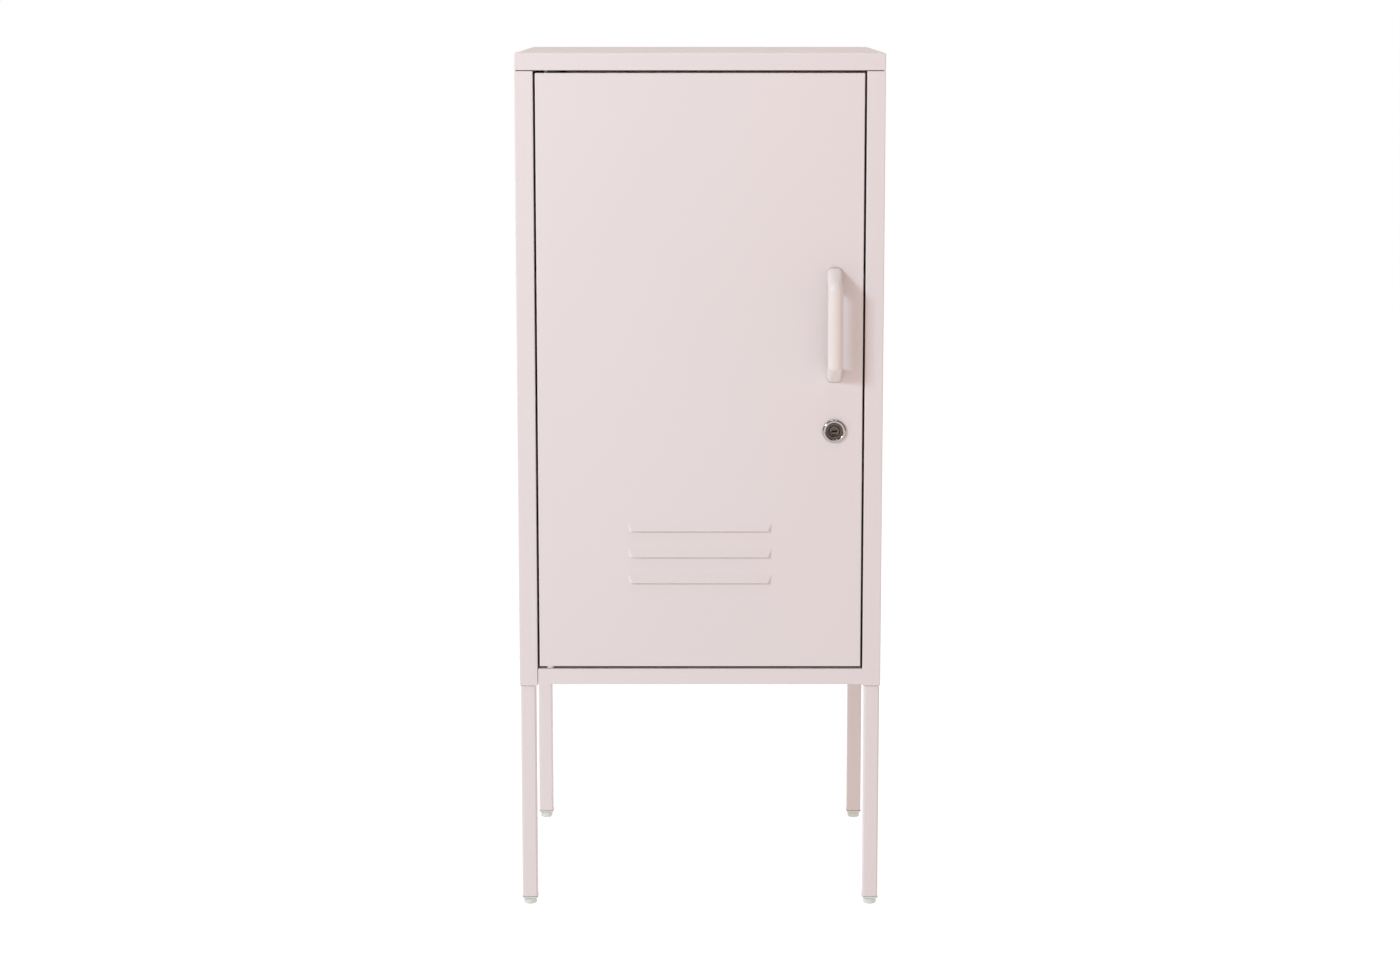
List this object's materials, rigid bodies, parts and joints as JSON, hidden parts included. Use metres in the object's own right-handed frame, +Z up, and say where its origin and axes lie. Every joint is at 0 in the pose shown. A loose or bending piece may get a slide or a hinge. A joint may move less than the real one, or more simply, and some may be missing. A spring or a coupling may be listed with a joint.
{
  "type": "locker cabinet",
  "caption": "Narrow free-standing steel locker cabinet on four tube legs, with a louvred locking door, bridge handle and inner shelves.",
  "frame": {"origin": "on the floor, under the centre of the whole object's box (handle included)", "axes": "+X to the right seen from the front, +Y to the back (the door faces -Y), +Z up"},
  "size_m": [0.43, 0.42, 1.02],
  "materials": {
    "powder_coat": "matt blush pink powder coat on sheet steel",
    "moulded_plastic": "satin moulded plastic in the body colour",
    "foot_plastic": "greyish white translucent plastic",
    "nylon": "natural nylon",
    "chrome": "polished plating with a dark face",
    "zinc_steel": "zinc plated",
    "rubber": "matt black"
  },
  "bodies": {
    "cabinet": {"left_side_panel": "powder_coat", "right_side_panel": "powder_coat", "back_panel": "powder_coat", "bottom_panel": "powder_coat", "top_cap": "powder_coat", "top_stop_rail": "powder_coat", "upper_shelf": "powder_coat", "lower_shelf": "powder_coat", "cable_grommet": "rubber", "magnet_catch": "rubber", "door_bumper_left": "rubber", "door_bumper_right": "rubber", "leg_front_left": "powder_coat", "shelf_upright_front_left": "powder_coat", "leg_insert_front_left": "foot_plastic", "leg_bolt_front_left_1": "zinc_steel", "leg_bolt_front_left_2": "zinc_steel", "lower_shelf_clip_front_left": "zinc_steel", "upper_shelf_clip_front_left": "zinc_steel", "leg_front_right": "powder_coat", "shelf_upright_front_right": "powder_coat", "leg_insert_front_right": "foot_plastic", "leg_bolt_front_right_1": "zinc_steel", "leg_bolt_front_right_2": "zinc_steel", "lower_shelf_clip_front_right": "zinc_steel", "upper_shelf_clip_front_right": "zinc_steel", "leg_rear_left": "powder_coat", "shelf_upright_rear_left": "powder_coat", "leg_insert_rear_left": "foot_plastic", "leg_bolt_rear_left_1": "zinc_steel", "leg_bolt_rear_left_2": "zinc_steel", "lower_shelf_clip_rear_left": "zinc_steel", "upper_shelf_clip_rear_left": "zinc_steel", "leg_rear_right": "powder_coat", "shelf_upright_rear_right": "powder_coat", "leg_insert_rear_right": "foot_plastic", "leg_bolt_rear_right_1": "zinc_steel", "leg_bolt_rear_right_2": "zinc_steel", "lower_shelf_clip_rear_right": "zinc_steel", "upper_shelf_clip_rear_right": "zinc_steel", "top_hinge_bush": "nylon", "bottom_hinge_washer": "nylon"},
    "door": {"door_panel": "powder_coat", "door_stiffener": "powder_coat", "top_hinge_pin": "zinc_steel", "bottom_hinge_pin": "zinc_steel", "door_handle": "moulded_plastic", "handle_screw_1": "zinc_steel", "handle_screw_2": "zinc_steel", "lock_housing": "chrome", "lock_nut": "zinc_steel"},
    "lock": {"lock_cylinder": "chrome", "lock_cam": "zinc_steel", "cam_screw": "zinc_steel"},
    "foot_front_left": {"levelling_foot_front_left": "foot_plastic"},
    "foot_front_right": {"levelling_foot_front_right": "foot_plastic"},
    "foot_rear_left": {"levelling_foot_rear_left": "foot_plastic"},
    "foot_rear_right": {"levelling_foot_rear_right": "foot_plastic"}
  },
  "joints": [
    {"name": "door_hinge", "type": "hinge", "parent": "cabinet", "child": "door", "pos_m": [-0.1785, -0.173, 0.295], "axis": [0, 0, -1], "range_deg": [0, 115]},
    {"name": "lock_turn", "type": "hinge", "parent": "door", "child": "lock", "pos_m": [0.158, -0.18, 0.5785], "axis": [0, -1, 0], "range_deg": [0, 90]},
    {"name": "foot_front_left_height", "type": "slide", "parent": "cabinet", "child": "foot_front_left", "axis": [0, 0, -1], "range_m": [0, 0.008]},
    {"name": "foot_front_right_height", "type": "slide", "parent": "cabinet", "child": "foot_front_right", "axis": [0, 0, -1], "range_m": [0, 0.008]},
    {"name": "foot_rear_left_height", "type": "slide", "parent": "cabinet", "child": "foot_rear_left", "axis": [0, 0, -1], "range_m": [0, 0.008]},
    {"name": "foot_rear_right_height", "type": "slide", "parent": "cabinet", "child": "foot_rear_right", "axis": [0, 0, -1], "range_m": [0, 0.008]}
  ]
}
